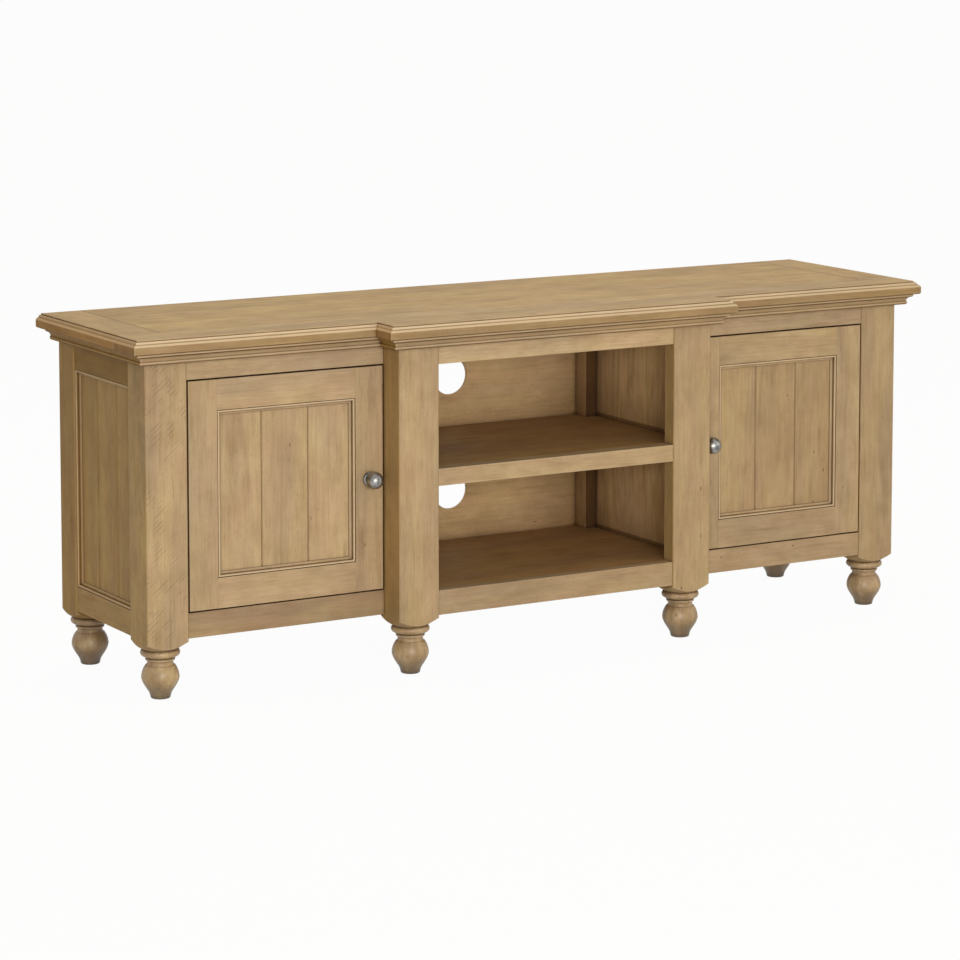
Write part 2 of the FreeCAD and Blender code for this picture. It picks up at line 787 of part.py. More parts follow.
def write_floors_and_shelves():
    write("bottom_board_centre", bay_floor(bottom_underside_z, opening_bottom_z, centre_rail_back))
    write_pair("cupboard_bottom", cupboard_floor())
    write("centre_shelf", bay_floor(shelf_top_z - shelf_thickness, shelf_top_z, centre_lip_back))
    write("centre_shelf_lip", block(-post_in, post_in, centre_front + rail_setback, centre_lip_back,
                                    shelf_top_z - shelf_lip_height, shelf_top_z))
    write("cupboard_shelves", mirrored(cupboard_shelf()), cupboard_shelf())
    cleats = cupboard_cleats()
    write("shelf_cleats", *cleats, *[mirrored(cleat) for cleat in cleats])
    write("door_stops", *door_stops())


def write_top():
    border, end, field = top_boards()
    write("top_front_board", border)
    write_pair("top_end_board", end)
    write("top_field_boards", *field)
    write("cornice_moulding", *edge_strips(cornice_profile(), top_flat_overhang, carcass_top_z,
                                           carcass_back))


def write_doors():
    pieces = {"hinge_stile": [hinge_stile()], "lock_stile": [lock_stile()], "rails": door_rails(),
              "boards": door_boards(), "moulding": door_moulding(), "knob": [knob()],
              "hinge_cups": [hinge_cup(z) for z in hinge_heights]}
    for name, solids in pieces.items():
        write("left_door_" + name, *[mirrored(solid) for solid in solids])
        write("right_door_" + name, *solids)
    for name, make in (("hinge_plates", hinge_plate), ("hinge_arms", hinge_arm)):
        solids = [make(z) for z in hinge_heights]
        write(name, *solids, *[mirrored(solid) for solid in solids])


write_posts_and_feet()
write_rails()
write_sides_and_back()
write_floors_and_shelves()
write_top()
write_doors()
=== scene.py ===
import math
from fnmatch import fnmatchcase

import bmesh
import bpy
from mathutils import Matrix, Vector


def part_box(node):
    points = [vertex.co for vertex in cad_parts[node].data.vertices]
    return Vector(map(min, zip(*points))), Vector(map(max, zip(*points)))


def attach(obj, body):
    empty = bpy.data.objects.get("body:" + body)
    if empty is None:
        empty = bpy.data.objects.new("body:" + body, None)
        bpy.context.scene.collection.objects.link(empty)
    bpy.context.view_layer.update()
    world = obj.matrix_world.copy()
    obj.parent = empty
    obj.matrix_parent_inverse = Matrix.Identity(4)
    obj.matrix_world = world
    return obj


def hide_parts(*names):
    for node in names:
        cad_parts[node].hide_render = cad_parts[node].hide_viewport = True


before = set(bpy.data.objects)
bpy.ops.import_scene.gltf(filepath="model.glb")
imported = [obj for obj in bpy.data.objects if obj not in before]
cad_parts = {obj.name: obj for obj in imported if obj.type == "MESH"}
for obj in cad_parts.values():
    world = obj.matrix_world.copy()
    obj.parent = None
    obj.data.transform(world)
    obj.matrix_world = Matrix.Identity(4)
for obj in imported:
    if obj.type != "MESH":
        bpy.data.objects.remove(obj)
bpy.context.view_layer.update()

# Camera at the photograph's place, in metres and radians; the photograph is 960 pixels square
IMAGE_SIZE = 960
CAMERA_PLACE = (-3.14748, -5.31836, 1.41309)
CAMERA_YAW = 0.52805
CAMERA_PITCH = 0.11186
FOCAL_PIXELS = 3489.07
CENTRE_ROW = 240
SENSOR_WIDTH = 36.0

# Lamps: name, place, target, width and height in metres, power, colour
LAMPS = (
    ("key", (-1.45, -3.9, 0.98), (-0.1, -0.1, 0.34), (2.0, 1.2), 90.0, (1.0, 0.985, 0.95)),
    ("fill", (2.6, -2.8, 1.2), (0.1, -0.1, 0.3), (1.6, 1.6), 11.0, (1.0, 0.90, 0.72)),
    ("overhead", (0.0, 0.3, 2.9), (0.0, 0.1, 0.6), (2.6, 1.6), 34.0, (1.0, 1.0, 1.0)),
)

# World and floor, whose white is seen and doesn't light the object
WORLD_LEVEL = 0.40
WORLD_TINT = (1.0, 0.93, 0.77, 1)
FLOOR_COLOUR = (0.66, 0.63, 0.56, 1)
FLOOR_ROUGHNESS = 0.9
FLOOR_REACH = 60.0
FLOOR_WHITE_SHARE = 0.965
WHITE = (1, 1, 1, 1)

# Wood tones, linear
FRONT_TONE = (0.500, 0.375, 0.232)
# The cornice's tone is darkened as painted shade under the top's overhang
CORNICE_SHADED_TONE = (0.405, 0.288, 0.162)
# The right door's panel is a little darker than the front: painted shade, as the light falls off to the
# right
RIGHT_PANEL_SHADED_TONE = (0.470, 0.345, 0.202)
# The wing friezes are darkened as painted shade under the top's overhang
FRIEZE_SHADED_TONE = (0.462, 0.352, 0.230)
# The bay's frieze is lightened as painted light against the shadow of the top's overhang
BAY_FRIEZE_LIT_TONE = (0.618, 0.470, 0.290)
# The left bottom rail is darkened as painted shade, as the light falls off low on the front
LOW_RAIL_SHADED_TONE = (0.388, 0.278, 0.166)
TOP_TONE = (0.482, 0.346, 0.176)
BORDER_TONE = (0.482, 0.352, 0.196)
# The side wood is darker and yellower than the front: painted shade on the side
SIDE_SHADED_TONE = (0.465, 0.312, 0.134)
SIDE_POST_SHADED_TONE = (0.395, 0.254, 0.096)
# The side's top rail is darkened as painted shadow under the cornice
SIDE_TOP_SHADOWED_TONE = (0.282, 0.165, 0.037)
# The inside wood is lightened as painted light in the bay
INNER_LIT_TONE = (0.790, 0.570, 0.315)
# The shelf and the bay's floor are darkened as painted shade
SHELF_SHADED_TONE = (0.450, 0.280, 0.122)
FEET_TONE = (0.530, 0.390, 0.225)
REAR_FEET_TONE = (0.520, 0.380, 0.220)
# The rubbed tone, also a painted highlight on sharp edges and beads
WORN_AND_HIGHLIGHT_TONE = (0.70, 0.55, 0.38, 1)

# Patches of a tone and whole boards depart from it by these factors
YELLOW_SHIFT = (1.11, 1.10, 1.00)
GREY_SHIFT = (0.88, 0.87, 0.90)
ROSY_SHIFT = (1.02, 0.935, 0.97)
BOARD_SHADES = ((0.95, 0.94, 0.92, 1), (1.04, 1.04, 1.04, 1))

# Shades that are multiplied over the tones
# The glaze's colour in smears and specks, also the painted shade in corners and grooves
GLAZE_AND_CORNER_SHADE = (0.40, 0.32, 0.21, 1)
LINE_GLAZE_AND_SHADE = (0.36, 0.28, 0.17, 1)
STREAK_SHADE = (0.68, 0.62, 0.54, 1)
KNOT_SHADE = (0.30, 0.23, 0.17, 1)
METAL_CORNER_PAINTED_SHADE = (0.22, 0.21, 0.20, 1)
TOE_SHADE = (0.32, 0.31, 0.28, 1)
RECESS_PAINTED_SHADE = (0.20, 0.14, 0.07, 1)
SAW_SHADE = (0.64, 0.64, 0.66, 1)
# Painted shade on faces that look along x
TOP_FLANK_PAINTED_SHADE = (0.88, 0.745, 0.59, 1)
CORNICE_FLANK_PAINTED_SHADE = (0.78, 0.63, 0.27, 1)
POST_FLANK_PAINTED_SHADE = (1.0, 0.94, 0.75, 1)
CENTRE_POST_FLANK_PAINTED_SHADE = (0.90, 0.82, 0.59, 1)
# Painted shadow on faces of the bay's rear posts that look along y
BAY_CORNER_PAINTED_SHADOW = (0.26, 0.19, 0.11, 1)

# Axes of the object, by their number
X, Y, Z = range(3)

# Joints between boards, in metres
DOOR_BOARD_HALF = 0.044
SIDE_BOARD_JOINTS = (-0.005, 0.075)
FIELD_BOARD_COUNT = 3
SEAM_LIMITS = (0.0009, 0.0018)
SEAM_STRENGTH = 0.95

# A board's number grows by the step at each joint, and moves the patterns by so many of these lengths
BOARD_STEP = 0.37
BOARD_MOVES = (3.1, 4.1, 5.1)
BOARD_SHADE_STEP = 7.31

# Noise patterns of the wood, with their scale across and along the grain
PATTERNS = {
    "broad": dict(across=17, along=3.2, detail=3),
    "blush": dict(across=26, along=8, turn=(0.4, 0.2, 0.3)),
    "cloud": dict(across=58, along=30, detail=3, roughness=0.55),
    "mottle": dict(across=15, along=15),
    "rings": dict(across=20, along=1.7, roughness=0.45, distortion=0.6),
    "fibre": dict(across=430, along=12, detail=3, roughness=0.65),
    "smear": dict(across=70, along=8, detail=4, roughness=0.6),
    "speck": dict(across=760, along=130),
}
RING_WAVES = 46.0

# Yellow patches on grey ground, then rosy ones: where the pattern starts and is full, strength
YELLOW_LIMITS = (0.34, 0.66)
ROSY_LIMITS = (0.42, 0.66, 0.0, 0.6)

# Coats over the ground: pattern, where it starts and is full, strength, shade
RING_LIMITS = (0.30, 1.0)
COATS = (
    ("cloud", 0.38, 0.66, 0.23, STREAK_SHADE),
    ("mottle", 0.42, 0.68, 0.30, STREAK_SHADE),
    ("fibre", 0.42, 0.70, 0.40, STREAK_SHADE),
    ("smear", 0.56, 0.80, 0.42, GLAZE_AND_CORNER_SHADE),
    ("speck", 0.62, 0.74, 0.40, GLAZE_AND_CORNER_SHADE),
)

# Dents: scale across and along the grain, edge from full to nothing, share of bare cells, strength
DENT_SCALE = (48, 19)
DENT_EDGE = (0.045, 0.085)
DENT_BARE_SHARE = 0.80
DENT_STRENGTH = 0.75

# Marks of the saw: the ways run along and across the strokes, the pitch is in metres
SAW_WAYS = ((0.64, 0.64, 0.42), (-0.55, -0.55, 0.63))
SAW_STRETCH = (62.0, 75.0)
SAW_PITCH = 0.0056
SAW_WAVER_SCALE = 0.8
SAW_WAVER_REACH = 4.5
SAW_TOOTH = (-0.1, 0.9)

# Places of the saw marks: short gaps in the strokes, patches of strokes, and fewer on the right half
SAW_GAPS = (0.46, 0.62)
SAW_PATCHES = (0.38, 0.56, 0.15, 1.0)
SAW_PATCH_SCALE = 13.0
SAW_RIGHT_HALF = (0.0, 0.1, 1.0, 0.25)

# Relief of the wood: share of the fibre and the dents, strength and height in metres of the whole
FIBRE_RELIEF = 0.5
DENT_RELIEF = 1.5
WOOD_RELIEF = (0.28, 0.0006)

# Toe of a turned foot, darker towards the bottom: how far up in metres, waver of that height, and its
# blotches
TOE_LIMITS = (0.004, 0.036, 1.0, 0.0)
TOE_WAVER = 0.010
TOE_BLOTCHES = (0.36, 0.60, 0.0, 0.85)

# Painted shade in recesses, glaze with painted shade in corners, rubbed edges with a painted highlight:
# reach in metres, openness where they are full and where they end
RECESS_SHADE_REACH = 0.15
RECESS_SHADE_LIMITS = (0.28, 0.82)
GLAZE_AND_SHADE_REACH = 0.0085
GLAZE_AND_SHADE_LIMITS = ((0.40, 0.90, 0.60, 0.0), (0.30, 0.64, 0.85, 0.0))
EDGE_REACH = 0.0032
EDGE_LIMITS = (0.50, 0.85, 1.0, 0.0)
EDGE_GAPS = (0.25, 0.50, 0.4, 1.0)

# A face is a flank where the part of its normal along an axis grows from the first to the second
FLANK_LIMITS = (0.40, 0.80)

# Limits of most of a noise pattern, the roughness over them, and the feet's coat: weight, roughness
MIDDLE_LIMITS = (0.3, 0.7)
WOOD_ROUGHNESS = (0.56, 0.68)
FEET_COAT = (0.35, 0.28)

# Metals: dull and bright colour, scale of the scratches, least roughness
STEEL = dict(colours=((0.55, 0.55, 0.53, 1), (0.68, 0.67, 0.64, 1)),
             stretch=(900, 900, 30), roughness=0.26)
PEWTER = dict(colours=((0.145, 0.145, 0.138, 1), (0.40, 0.395, 0.375, 1)),
              stretch=(160, 160, 160), roughness=0.31)

# Polish, painted shade in corners, and relief of the metals
POLISH_SCALE = 120.0
POLISH_LIMITS = (0.35, 0.65)
METAL_SHADE_REACH = 0.012
METAL_SHADE_LIMITS = (0.25, 0.90, 1.0, 0.0)
METAL_ROUGHNESS_RANGE = 0.16
METAL_RELIEF = (0.08, 0.0002)

# Dark lines of glaze and painted shade, and rubbed beads with a painted highlight, on the top and the
# cornice: lowest and highest point in metres, strength
TOP_LINES = ((0.6116, 0.6126, 0.60), (0.6067, 0.6076, 0.40), (0.5900, 0.5918, 0.85))
# The border adds painted shade over its fascia
BORDER_LINES = TOP_LINES + ((0.5922, 0.6028, 0.30),)
BORDER_BEAD_HIGHLIGHTS = ((0.6129, 0.6136, 0.80), (0.6080, 0.6113, 0.95), (0.6034, 0.6065, 0.58))
END_BEAD_HIGHLIGHTS = ((0.6080, 0.6113, 0.90), (0.6034, 0.6065, 0.70))
CORNICE_LINES = ((0.5892, 0.5902, 0.85), (0.5828, 0.5852, 0.95), (0.5700, 0.5716, 0.85))
# The cornice's middle band is painted light over its cove
CORNICE_BEAD_HIGHLIGHTS = ((0.5858, 0.5884, 0.60), (0.5770, 0.5822, 0.16), (0.5728, 0.5756, 0.36))

# Painted shadow at the foot of the partitions, above the bottom board and above the shelf
PARTITION_FOOT_SHADOWS = ((0.1440, 0.1525, 0.75), (0.3560, 0.3645, 0.75))

# Dark lines of a panel moulding, glaze with painted shade, and its rubbed bead with a painted
# highlight: least and greatest distance from its outer edge, strength
MOULDING_LINES = ((-0.0004, 0.0007, 0.85), (0.0045, 0.0055, 0.85), (0.0086, 0.0100, 0.85))
MOULDING_BEAD_HIGHLIGHTS = ((0.0014, 0.0038, 0.60),)
LINE_SOFTNESS = 0.0003

# Softened arrises of the wood
WELD_DISTANCE = 1e-5
FLAT_ANGLE = math.radians(0.4)
ARRIS_WIDTH = 0.0007
ARRIS_ANGLE = math.radians(25)
ARRIS_SEGMENTS = 2

# Turned profiles, (radius, height) in millimetres
FOOT_BULB = ((15.4, 0), (16.6, 1.2), (17.4, 4.6), (19.2, 10.0), (22.6, 15.6), (26.4, 21.4),
             (29.7, 27.4), (31.6, 33), (32.1, 37), (31.1, 43.6), (28.6, 50.6), (25.2, 56.2))
FOOT_NECK = ((23.4, 57.0), (22.2, 59.4), (22.0, 62.0), (22.6, 64.0))
FOOT_BEAD = ((23.2, 64.5), (24.8, 65.5), (25.2, 67.0), (24.8, 68.6), (23.6, 69.6))
FOOT_RING = ((24.2, 70.2), (28.2, 71.6), (31.9, 74.0), (33.5, 77.4), (33.0, 80.6), (31.2, 83.2),
             (29.6, 84.5))
KNOB_PROFILE = ((11.2, 0), (12.0, 0.9), (12.2, 2.2), (11.9, 3.4), (10.4, 4.4), (8.2, 5.2), (6.9, 6.6),
                (7.1, 8.4), (9.3, 10.2), (12.2, 12.0), (14.1, 14.4), (14.8, 17.4), (14.8, 21.0),
                (14.2, 24.6), (12.8, 28.0), (10.5, 31.0), (7.5, 33.2), (4.0, 34.6), (0.05, 35))
SCREW_PROFILE = ((3.4, 0), (3.4, 0.3), (2.9, 0.9), (1.9, 1.35), (0.05, 1.5))
FOOT_CURVE_STEPS = 6
KNOB_CURVE_STEPS = 4
TURNED_SIDES = 72
SCREW_SIDES = 24
TURNED_SHARP_ANGLE = math.radians(35)
KNOB_SHARP_ANGLE = math.radians(50)

# Places of the screws on the hinges, in metres
CUP_FLANGE_LENGTH = 0.052
CUP_SCREW_INSET = 0.006
PLATE_THICKNESS = 0.008
PLATE_WIDTH = 0.018
PLATE_FRONT_INSET = 0.002
PLATE_REAR_INSET = 0.004

# Sockets of a mix node that is set to colour: share and two colours, and the result
MIX_INPUTS = (0, 6, 7)
MIX_RESULT = 2

# Rays that measure how open a place is
OPENNESS_SAMPLES = 4

# Doors by their body, and feet by their CAD node and finish
DOORS = ("left_door", "right_door")
FEET = (("front_feet", "feet"), ("centre_feet", "feet"), ("rear_feet", "rear_feet"))

# Finish of each CAD node: the first row whose pattern fits the node's name
FINISHES = (
    ("*_hinge_cups", "steel"), ("hinge_arms", "steel"), ("hinge_plates", "steel"), ("*_knob", "pewter"),
    ("rear_feet", "rear_feet"), ("*_feet", "feet"),
    ("left_door_boards", "left_panel"), ("right_door_boards", "right_panel"),
    ("*_door_*_stile", "stile"), ("*_door_rails", "door_rail"), ("*_door_moulding", "door_moulding"),
    ("front_corner_post_*", "sawn_post"), ("front_centre_post_*", "post"),
    ("rear_corner_post_*", "side_post"), ("rear_centre_post_*", "bay_post"),
    ("top_field_boards", "top"), ("top_front_board", "border"), ("top_end_board_*", "end"),
    ("cornice_moulding", "cornice"),
    ("top_rail_centre", "bay_frieze"), ("top_rail_*", "frieze"),
    ("bottom_rail_left", "low_rail"), ("bottom_rail_*", "rail"),
    ("side_boards_*", "side_board"), ("side_moulding_*", "side_moulding"),
    ("side_top_rail_*", "side_top"), ("side_bottom_rail_*", "side_rail"),
    ("centre_shelf_lip", "lip"), ("centre_shelf", "shelf"), ("bottom_board_centre", "shelf"),
    ("partition_*", "inner"), ("*", "inner_level"),
)

# Nodes with one of these in the name keep their edges as they are
UNSOFTENED = ("board", "moulding", "knob", "feet", "hinge_cups", "hinge_arms", "hinge_plates")


class Nodes:
    """Adds nodes to the tree of a material or a world and joins them."""

    def __init__(self, owner):
        owner.use_nodes = True
        self.tree = owner.node_tree

    def put(self, socket, value):
        """Feeds an input from another node, or sets it to a plain value."""
        if isinstance(value, bpy.types.NodeSocket):
            self.tree.links.new(value, socket)
        else:
            socket.default_value = value

    def node(self, kind, **settings):
        made = self.tree.nodes.new(kind)
        for key, value in settings.items():
            setattr(made, key, value)
        return made

    def math(self, operation, a, b=0.0, c=0.0):
        made = self.node("ShaderNodeMath", operation=operation)
        for socket, value in zip(made.inputs, (a, b, c)):
            self.put(socket, value)
        return made.outputs[0]

    def product(self, first, *others):
        for other in others:
            first = self.math("MULTIPLY", first, other)
        return first

    def distance(self, value, middle):
        return self.math("ABSOLUTE", self.math("SUBTRACT", value, middle))

    def spread(self, value, low, high, out_low=0.0, out_high=1.0):
        """Value between low and high, stretched to the new limits and clamped."""
        made = self.node("ShaderNodeMapRange", clamp=True)
        for socket, number in zip(made.inputs, (value, low, high, out_low, out_high)):
            self.put(socket, number)
        return made.outputs[0]

    def band(self, value, low, high):
        """1 where the value lies between low and high, with soft limits."""
        soft = LINE_SOFTNESS
        return self.product(self.spread(value, low - soft, low + soft),
                            self.spread(value, high - soft, high + soft, 1.0, 0.0))

    def mix(self, share, a, b, blend="MIX"):
        made = self.node("ShaderNodeMix", data_type="RGBA", blend_type=blend)
        for socket, value in zip(MIX_INPUTS, (share, a, b)):
            self.put(made.inputs[socket], value)
        return made.outputs[MIX_RESULT]

    def parts(self, vector):
        made = self.node("ShaderNodeSeparateXYZ")
        self.put(made.inputs[0], vector)
        return made.outputs

    def joined(self, *numbers):
        made = self.node("ShaderNodeCombineXYZ")
        for socket, number in zip(made.inputs, numbers):
            self.put(socket, number)
        return made.outputs[0]

    def vector_math(self, operation, a, b):
        made = self.node("ShaderNodeVectorMath", operation=operation)
        self.put(made.inputs[0], a)
        self.put(made.inputs[1], b)
        return made

    def seen_share(self):
        """1 for rays from the camera, mirrors and glass, 0 for the light on the object."""
        path = self.node("ShaderNodeLightPath")
        share = path.outputs["Is Camera Ray"]
        for other in ("Is Glossy Ray", "Is Transmission Ray"):
            share = self.math("MAXIMUM", share, path.outputs[other])
        return share


class Shader(Nodes):
    """A new material on the object's own coordinates."""

    def __init__(self, name):
        self.material = bpy.data.materials.new(name)
        super().__init__(self.material)
        self.surface = self.tree.nodes["Principled BSDF"]
        coordinates = self.node("ShaderNodeTexCoord")
        self.place = coordinates.outputs["Object"]
        self.outward = coordinates.outputs["Normal"]

    def scaled(self, vector, scale, turn=(0, 0, 0)):
        made = self.node("ShaderNodeMapping")
        self.put(made.inputs["Vector"], vector)
        made.inputs["Scale"].default_value = scale
        made.inputs["Rotation"].default_value = turn
        return made.outputs[0]

    def noise(self, vector, scale, detail=2.0, roughness=0.5, distortion=0.0):
        made = self.node("ShaderNodeTexNoise")
        for name, value in (("Vector", vector), ("Scale", scale), ("Detail", detail),
                            ("Roughness", roughness), ("Distortion", distortion)):
            self.put(made.inputs[name], value)
        return made.outputs["Fac"]

    def openness(self, reach, inside=False):
        """1 on open faces and less in corners and grooves, or on sharp edges when inside."""
        made = self.node("ShaderNodeAmbientOcclusion", samples=OPENNESS_SAMPLES, inside=inside)
        made.inputs["Distance"].default_value = reach
        return made.outputs["AO"]

    def bump(self, height, strength, distance):
        made = self.node("ShaderNodeBump")
        made.inputs["Strength"].default_value = strength
        made.inputs["Distance"].default_value = distance
        self.put(made.inputs["Height"], height)
        self.put(self.surface.inputs["Normal"], made.outputs[0])


class Wood(Shader):
    """Waxed, weathered wood with the grain along one axis, coloured coat by coat."""

    def __init__(self, name, axis, joint_axis, joints):
        super().__init__(name)
        self.axis = axis
        self.xyz = self.parts(self.place)
        self.board = self.board_number(joint_axis, joints)
        move = self.joined(*(self.math("MULTIPLY", self.board, length) for length in BOARD_MOVES))
        self.moved = self.vector_math("ADD", self.place, move).outputs[0]
        self.patterns = {key: self.pattern(**numbers) for key, numbers in PATTERNS.items()}
        self.height = self.math("MULTIPLY", self.patterns["fibre"], FIBRE_RELIEF)
        self.colour = None

    def board_number(self, joint_axis, joints):
        """A number that changes from node to node and at each joint between boards."""
        number = self.node("ShaderNodeObjectInfo").outputs["Random"]
        for joint in joints:
            past = self.math("GREATER_THAN", self.xyz[joint_axis], joint)
            number = self.math("ADD", number, self.math("MULTIPLY", past, BOARD_STEP))
        return number

    def grain_scaled(self, across, along, turn=(0, 0, 0)):
        """The moved place, drawn out along the grain."""
        return self.scaled(self.moved, [along if i == self.axis else across for i in range(3)], turn)

    def pattern(self, across, along, detail=2, roughness=0.5, distortion=0.0, turn=(0, 0, 0)):
        return self.noise(self.grain_scaled(across, along, turn), 1.0, detail, roughness, distortion)

    def cover(self, share, tone):
        self.colour = self.mix(share, self.colour, tone)

    def shade(self, share, shade):
        self.colour = self.mix(share, self.colour, shade, "MULTIPLY")

    def ground(self, tone):
        """The tone with yellow, grey and rosy patches, a little lighter or darker by the board."""
        yellow, grey, rosy = ([c * k for c, k in zip(tone, shift)] + [1]
                              for shift in (YELLOW_SHIFT, GREY_SHIFT, ROSY_SHIFT))
        self.colour = self.mix(self.spread(self.patterns["broad"], *YELLOW_LIMITS), grey, yellow)
        self.cover(self.spread(self.patterns["blush"], *ROSY_LIMITS), rosy)
        own = self.math("FRACT", self.math("MULTIPLY", self.board, BOARD_SHADE_STEP))
        self.shade(1.0, self.mix(own, *BOARD_SHADES))

    def weathering(self, figure):
        """Growth rings, then stains, fibres, smears of glaze and specks."""
        rings = self.math("SINE", self.math("MULTIPLY", self.patterns["rings"], RING_WAVES))
        self.shade(self.spread(rings, *RING_LIMITS, 0.0, figure), STREAK_SHADE)
        for key, low, high, strength, shade in COATS:
            self.shade(self.spread(self.patterns[key], low, high, 0.0, strength), shade)

    def dents(self):
        cells = self.node("ShaderNodeTexVoronoi", feature="F1")
        self.put(cells.inputs["Vector"], self.grain_scaled(*DENT_SCALE))
        cells.inputs["Scale"].default_value = 1.0
        lot = self.node("ShaderNodeSeparateColor")
        self.put(lot.inputs[0], cells.outputs["Color"])
        dent = self.product(self.spread(cells.outputs["Distance"], *DENT_EDGE, 1.0, 0.0),
                            self.math("GREATER_THAN", lot.outputs[0], DENT_BARE_SHARE))
        self.shade(self.math("MULTIPLY", dent, DENT_STRENGTH), KNOT_SHADE)
        self.height = self.math("SUBTRACT", self.height, self.math("MULTIPLY", dent, DENT_RELIEF))

    def saw_marks(self, strength):
        """Wavering parallel strokes of a coarse saw, in patches."""
        along, across = (self.vector_math("DOT_PRODUCT", self.place, way).outputs["Value"]
                         for way in SAW_WAYS)
        strip = self.joined(self.math("MULTIPLY", along, SAW_STRETCH[0]),
                            self.math("MULTIPLY", across, SAW_STRETCH[1]))
        waver = self.math("MULTIPLY", self.noise(strip, SAW_WAVER_SCALE), SAW_WAVER_REACH)
        teeth = self.math("SINE", self.math("MULTIPLY_ADD", across, 2 * math.pi / SAW_PITCH, waver))
        marks = self.product(self.spread(teeth, *SAW_TOOTH),
                             self.spread(self.noise(strip, 1.0, 1), *SAW_GAPS),
                             self.spread(self.noise(self.place, SAW_PATCH_SCALE), *SAW_PATCHES),
                             self.spread(self.xyz[X], *SAW_RIGHT_HALF), strength)
        self.shade(marks, SAW_SHADE)
        self.height = self.math("SUBTRACT", self.height, marks)

    def end_seams(self):
        """The joints between the top's field boards and its two end boards."""
        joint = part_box("top_field_boards")[1].x
        off = self.distance(self.math("ABSOLUTE", self.xyz[X]), joint)
        self.shade(self.spread(off, *SEAM_LIMITS, SEAM_STRENGTH, 0.0), KNOT_SHADE)

    def darker_toe(self):
        height = self.math("MULTIPLY_ADD", self.spread(self.patterns["smear"], *MIDDLE_LIMITS),
                           TOE_WAVER, self.xyz[Z])
        self.shade(self.spread(height, *TOE_LIMITS), TOE_SHADE)
        self.shade(self.spread(self.patterns["cloud"], *TOE_BLOTCHES), STREAK_SHADE)

    def recess_shade(self, strength):
        """Painted shade in the recesses."""
        shut = self.spread(self.openness(RECESS_SHADE_REACH), *RECESS_SHADE_LIMITS, strength, 0.0)
        self.shade(shut, RECESS_PAINTED_SHADE)

    def ring_inset(self, across, low, high):
        """Distance inward from the outer edge of a moulding round a panel; doors are mirrored in x."""
        reach = self.math("ABSOLUTE", self.xyz[X]) if across == X else self.xyz[across]
        insets = []
        for i, value in ((across, reach), (Z, self.xyz[Z])):
            middle = (high[i] + low[i]) / 2
            half = (high[i] - low[i]) / 2
            insets.append(self.math("SUBTRACT", half, self.distance(value, middle)))
        return self.math("MINIMUM", *insets)

    def profile(self, ring, lines, bead_highlights):
        """Rubbed beads with a painted highlight, and dark lines of glaze and painted shade, by height
        or by distance from the edge of a ring.
        """
        depth = self.ring_inset(*ring) if ring else self.xyz[Z]
        # Paler bands are rubbed beads with a painted highlight; dark lines are glaze with painted shade
        for low, high, strength in bead_highlights:
            self.cover(self.math("MULTIPLY", self.band(depth, low, high), strength), WORN_AND_HIGHLIGHT_TONE)
        for low, high, strength in lines:
            self.shade(self.math("MULTIPLY", self.band(depth, low, high), strength), LINE_GLAZE_AND_SHADE)

    def flanks(self, shades):
        """Painted shade on the faces that look along x, and along y where there is a second one."""
        facing = self.parts(self.outward)
        for way, shade in zip(facing, shades):
            self.shade(self.spread(self.math("ABSOLUTE", way), *FLANK_LIMITS), shade)

    def glaze_and_shade(self, strength):
        """Dark glaze in corners and grooves, with painted shade there."""
        deep = [1 - strength * (1 - c) for c in GLAZE_AND_CORNER_SHADE[:3]] + [1]
        opened = self.openness(GLAZE_AND_SHADE_REACH)
        for limits in GLAZE_AND_SHADE_LIMITS:
            self.shade(self.spread(opened, *limits), deep)

    # Paler rubbed edges, with a painted highlight along them
    def worn_and_highlit_edges(self, strength):
        edge = self.spread(self.openness(EDGE_REACH, inside=True), *EDGE_LIMITS)
        gaps = self.spread(self.patterns["smear"], *EDGE_GAPS)
        self.cover(self.product(edge, gaps, strength), WORN_AND_HIGHLIGHT_TONE)

    def finish(self, gloss):
        roughness = self.spread(self.patterns["smear"], *MIDDLE_LIMITS, *WOOD_ROUGHNESS)
        self.put(self.surface.inputs["Base Color"], self.colour)
        self.put(self.surface.inputs["Roughness"], roughness)
        self.surface.inputs["Specular IOR Level"].default_value = gloss
        self.bump(self.height, *WOOD_RELIEF)

    def clear_coat(self, weight, roughness):
        self.surface.inputs["Coat Weight"].default_value = weight
        self.surface.inputs["Coat Roughness"].default_value = roughness


def wood(name, tone, axis, joint_axis=X, joints=(), figure=0.16, saw=0.03, seams=False, toe=False,
         recess_shade=0.0, ring=None, lines=(), bead_highlights=(), flanks=(), glaze_and_shade=0.92, wear_and_highlight=0.0, gloss=0.22):
    """Material of one kind of wooden piece; the joints part boards that lie in the same node."""
    made = Wood(name, axis, joint_axis, joints)
    made.ground(tone)
    made.weathering(figure)
    made.dents()
    made.saw_marks(saw)
    if seams:
        made.end_seams()
    if toe:
        made.darker_toe()
        made.clear_coat(*FEET_COAT)
    if recess_shade:
        made.recess_shade(recess_shade)
    made.profile(ring, lines, bead_highlights)
    if flanks:
        made.flanks(flanks)
    made.glaze_and_shade(glaze_and_shade)
    made.worn_and_highlit_edges(wear_and_highlight)
    made.finish(gloss)
    return made.material


